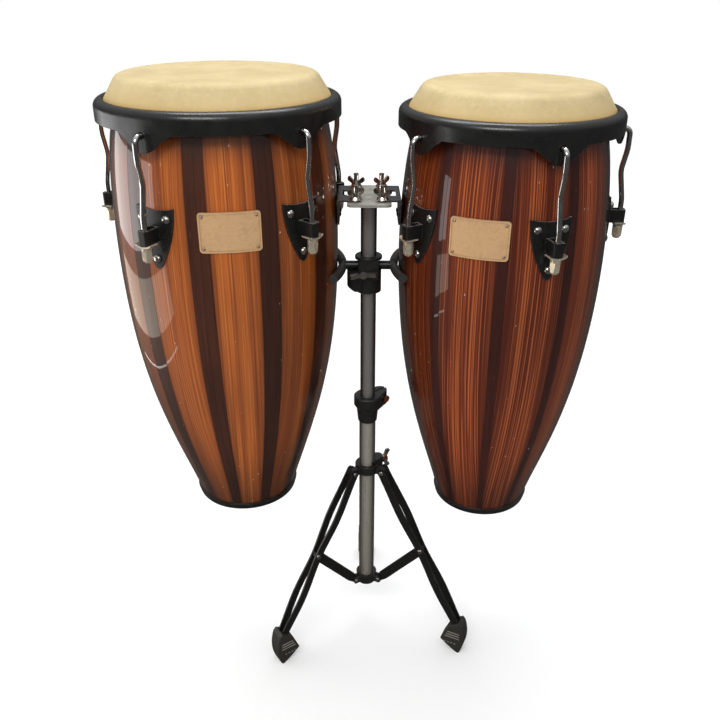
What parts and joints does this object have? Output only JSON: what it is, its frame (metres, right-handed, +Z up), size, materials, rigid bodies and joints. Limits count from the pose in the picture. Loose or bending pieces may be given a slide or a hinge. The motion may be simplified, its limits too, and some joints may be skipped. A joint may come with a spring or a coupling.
{
  "type": "conga drums",
  "caption": "Pair of stave-built conga drums with curved rims, hung side by side on a folding tripod stand.",
  "frame": {"origin": "on the floor, on the axis of the stand's tube", "axes": "+Z up, -Y towards the player's front view, +X towards the smaller drum"},
  "size_m": [0.8118, 0.3941, 1.0417],
  "materials": {
    "lacquered_wood": "glossy clear lacquer over striped hardwood staves",
    "rawhide": "natural mottled hide, matt",
    "black_steel": "satin black powder coat",
    "black_casting": "satin black paint on a casting",
    "chrome": "bright chrome plate",
    "dark_chrome": "bright chrome plate on the tube",
    "nickel": "bright nickel plate",
    "zinc_steel": "zinc plate",
    "satin_tube": "satin plated steel",
    "brass": "brushed and lacquered",
    "rubber": "moulded, matt"
  },
  "bodies": {
    "stand_base": {"lower_tube": "satin_tube", "bottom_hub": "black_casting", "height_clamp": "black_casting"},
    "clamp_nut": {"height_clamp_wing_nut": "nickel"},
    "mast": {"upper_tube": "dark_chrome", "top_plate": "satin_tube", "arm_studs": "nickel"},
    "leg_slider": {"leg_collar": "black_casting"},
    "slider_bolt": {"collar_wing_bolt": "nickel"},
    "cradle": {"cradle_block": "black_casting", "cradle_left": "black_steel", "cradle_right": "black_steel", "cradle_grips_left": "rubber", "cradle_grips_right": "rubber"},
    "cradle_bolt": {"cradle_wing_bolt": "nickel"},
    "leg_front_left_body": {"leg_front_left": "black_steel", "foot_front_left": "rubber"},
    "brace_front_left_body": {"brace_front_left": "black_steel"},
    "leg_front_right_body": {"leg_front_right": "black_steel", "foot_front_right": "rubber"},
    "brace_front_right_body": {"brace_front_right": "black_steel"},
    "leg_rear_body": {"leg_rear": "black_steel", "foot_rear": "rubber"},
    "brace_rear_body": {"brace_rear": "black_steel"},
    "stud_nut_1": {"arm_wing_nut_1": "nickel"},
    "stud_nut_2": {"arm_wing_nut_2": "nickel"},
    "stud_nut_3": {"arm_wing_nut_3": "nickel"},
    "stud_nut_4": {"arm_wing_nut_4": "nickel"},
    "left_drum": {"left_shell_staves": "lacquered_wood", "left_base_ring": "black_steel", "left_head": "rawhide", "left_flesh_hoop": "zinc_steel", "left_lug_plates": "black_steel", "left_shell_bolts": "nickel", "left_arm_bolts": "black_steel", "left_badge": "brass", "left_arm": "black_steel"},
    "left_rim_body": {"left_rim": "black_steel", "left_hooks": "chrome"},
    "left_nut_1": {"left_tuning_nut_1": "chrome"},
    "left_nut_2": {"left_tuning_nut_2": "chrome"},
    "left_nut_3": {"left_tuning_nut_3": "chrome"},
    "left_nut_4": {"left_tuning_nut_4": "chrome"},
    "left_nut_5": {"left_tuning_nut_5": "chrome"},
    "right_drum": {"right_shell_staves": "lacquered_wood", "right_base_ring": "black_steel", "right_head": "rawhide", "right_flesh_hoop": "zinc_steel", "right_lug_plates": "black_steel", "right_shell_bolts": "nickel", "right_arm_bolts": "black_steel", "right_badge": "brass", "right_arm": "black_steel"},
    "right_rim_body": {"right_rim": "black_steel", "right_hooks": "chrome"},
    "right_nut_1": {"right_tuning_nut_1": "chrome"},
    "right_nut_2": {"right_tuning_nut_2": "chrome"},
    "right_nut_3": {"right_tuning_nut_3": "chrome"},
    "right_nut_4": {"right_tuning_nut_4": "chrome"},
    "right_nut_5": {"right_tuning_nut_5": "chrome"}
  },
  "joints": [
    {"name": "height_slide", "type": "slide", "parent": "stand_base", "child": "mast", "axis": [0, 0, 1], "range_m": [-0.15, 0.12]},
    {"name": "leg_fold", "type": "slide", "parent": "stand_base", "child": "leg_slider", "axis": [0, 0, 1], "range_m": [0, 0.04688]},
    {"name": "height_clamp_turn", "type": "hinge", "parent": "stand_base", "child": "clamp_nut", "pos_m": [0.02304, 0.02074, 0.497], "axis": [-0.6691, 0.7431, 0], "continuous": true},
    {"name": "slider_bolt_turn", "type": "hinge", "parent": "leg_slider", "child": "slider_bolt", "pos_m": [0.02748, 0.01717, 0.367], "axis": [0.848, 0.5299, 0], "continuous": true},
    {"name": "cradle_slide", "type": "slide", "parent": "mast", "child": "cradle", "axis": [0, 0, -1], "range_m": [0, 0.04]},
    {"name": "cradle_bolt_turn", "type": "hinge", "parent": "cradle", "child": "cradle_bolt", "pos_m": [-0.008, -0.0206, 0.741], "axis": [0, -1, 0], "continuous": true},
    {"name": "leg_hinge_front_left", "type": "hinge", "parent": "leg_slider", "child": "leg_front_left_body", "pos_m": [-0.02634, -0.01817, 0.3605], "axis": [0.5678, -0.8231, 0], "range_deg": [0, 21.06]},
    {"name": "brace_hinge_front_left", "type": "hinge", "parent": "stand_base", "child": "brace_front_left_body", "pos_m": [-0.02223, -0.01533, 0.108], "axis": [-0.5678, 0.8231, 0], "range_deg": [0, 28.89]},
    {"name": "leg_hinge_front_right", "type": "hinge", "parent": "leg_slider", "child": "leg_front_right_body", "pos_m": [0.02891, -0.01373, 0.3605], "axis": [0.4289, 0.9033, 0], "range_deg": [0, 21.06]},
    {"name": "brace_hinge_front_right", "type": "hinge", "parent": "stand_base", "child": "brace_front_right_body", "pos_m": [0.02439, -0.01158, 0.108], "axis": [-0.4289, -0.9033, 0], "range_deg": [0, 28.89]},
    {"name": "leg_hinge_rear", "type": "hinge", "parent": "leg_slider", "child": "leg_rear_body", "pos_m": [-0.00022, 0.032, 0.3605], "axis": [-1, -0.007, 0], "range_deg": [0, 21.06]},
    {"name": "brace_hinge_rear", "type": "hinge", "parent": "stand_base", "child": "brace_rear_body", "pos_m": [-0.00019, 0.027, 0.108], "axis": [1, 0.007, 0], "range_deg": [0, 28.89]},
    {"name": "stud_nut_turn_1", "type": "hinge", "parent": "mast", "child": "stud_nut_1", "pos_m": [-0.02, -0.038, 0.87], "axis": [0, 0, 1], "continuous": true},
    {"name": "stud_nut_turn_2", "type": "hinge", "parent": "mast", "child": "stud_nut_2", "pos_m": [-0.02, 0.038, 0.87], "axis": [0, 0, 1], "continuous": true},
    {"name": "stud_nut_turn_3", "type": "hinge", "parent": "mast", "child": "stud_nut_3", "pos_m": [0.02, -0.038, 0.87], "axis": [0, 0, 1], "continuous": true},
    {"name": "stud_nut_turn_4", "type": "hinge", "parent": "mast", "child": "stud_nut_4", "pos_m": [0.02, 0.038, 0.87], "axis": [0, 0, 1], "continuous": true},
    {"name": "left_drum_slide", "type": "slide", "parent": "mast", "child": "left_drum", "axis": [-1, 0, 0], "range_m": [0, 0.03]},
    {"name": "left_rim_lift", "type": "slide", "parent": "left_drum", "child": "left_rim_body", "axis": [0, 0, 1], "range_m": [0, 0.006]},
    {"name": "left_nut_turn_1", "type": "hinge", "parent": "left_drum", "child": "left_nut_1", "pos_m": [-0.30217, -0.17257, 0.8267], "axis": [0, 0, 1], "range_deg": [-1540, 0]},
    {"name": "left_nut_turn_2", "type": "hinge", "parent": "left_drum", "child": "left_nut_2", "pos_m": [-0.07989, -0.13337, 0.8267], "axis": [0, 0, 1], "range_deg": [-1540, 0]},
    {"name": "left_nut_turn_3", "type": "hinge", "parent": "left_drum", "child": "left_nut_3", "pos_m": [-0.04847, 0.09014, 0.8267], "axis": [0, 0, 1], "range_deg": [-1540, 0]},
    {"name": "left_nut_turn_4", "type": "hinge", "parent": "left_drum", "child": "left_nut_4", "pos_m": [-0.25134, 0.18908, 0.8267], "axis": [0, 0, 1], "range_deg": [-1540, 0]},
    {"name": "left_nut_turn_5", "type": "hinge", "parent": "left_drum", "child": "left_nut_5", "pos_m": [-0.40813, 0.02672, 0.8267], "axis": [0, 0, 1], "range_deg": [-1540, 0]},
    {"name": "right_drum_slide", "type": "slide", "parent": "mast", "child": "right_drum", "axis": [1, 0, 0], "range_m": [0, 0.03]},
    {"name": "right_rim_lift", "type": "slide", "parent": "right_drum", "child": "right_rim_body", "axis": [0, 0, 1], "range_m": [0, 0.006]},
    {"name": "right_nut_turn_1", "type": "hinge", "parent": "right_drum", "child": "right_nut_1", "pos_m": [0.05638, -0.09749, 0.8114], "axis": [0, 0, 1], "range_deg": [-1540, 0]},
    {"name": "right_nut_turn_2", "type": "hinge", "parent": "right_drum", "child": "right_nut_2", "pos_m": [0.25283, -0.1729, 0.8114], "axis": [0, 0, 1], "range_deg": [-1540, 0]},
    {"name": "right_nut_turn_3", "type": "hinge", "parent": "right_drum", "child": "right_nut_3", "pos_m": [0.38526, -0.00937, 0.8114], "axis": [0, 0, 1], "range_deg": [-1540, 0]},
    {"name": "right_nut_turn_4", "type": "hinge", "parent": "right_drum", "child": "right_nut_4", "pos_m": [0.27065, 0.16711, 0.8114], "axis": [0, 0, 1], "range_deg": [-1540, 0]},
    {"name": "right_nut_turn_5", "type": "hinge", "parent": "right_drum", "child": "right_nut_5", "pos_m": [0.06739, 0.11265, 0.8114], "axis": [0, 0, 1], "range_deg": [-1540, 0]}
  ],
  "couplings": [
    {"joint": "leg_hinge_front_left", "follows": "leg_fold", "rad_per_m": 7.7675},
    {"joint": "brace_hinge_front_left", "follows": "leg_fold", "rad_per_m": 10.684},
    {"joint": "leg_hinge_front_right", "follows": "leg_fold", "rad_per_m": 7.7675},
    {"joint": "brace_hinge_front_right", "follows": "leg_fold", "rad_per_m": 10.684},
    {"joint": "leg_hinge_rear", "follows": "leg_fold", "rad_per_m": 7.7675},
    {"joint": "brace_hinge_rear", "follows": "leg_fold", "rad_per_m": 10.684},
    {"joint": "left_nut_turn_1", "follows": "left_rim_lift", "rad_per_m": -4452.7},
    {"joint": "left_nut_turn_2", "follows": "left_rim_lift", "rad_per_m": -4452.7},
    {"joint": "left_nut_turn_3", "follows": "left_rim_lift", "rad_per_m": -4452.7},
    {"joint": "left_nut_turn_4", "follows": "left_rim_lift", "rad_per_m": -4452.7},
    {"joint": "left_nut_turn_5", "follows": "left_rim_lift", "rad_per_m": -4452.7},
    {"joint": "right_nut_turn_1", "follows": "right_rim_lift", "rad_per_m": -4452.7},
    {"joint": "right_nut_turn_2", "follows": "right_rim_lift", "rad_per_m": -4452.7},
    {"joint": "right_nut_turn_3", "follows": "right_rim_lift", "rad_per_m": -4452.7},
    {"joint": "right_nut_turn_4", "follows": "right_rim_lift", "rad_per_m": -4452.7},
    {"joint": "right_nut_turn_5", "follows": "right_rim_lift", "rad_per_m": -4452.7}
  ]
}
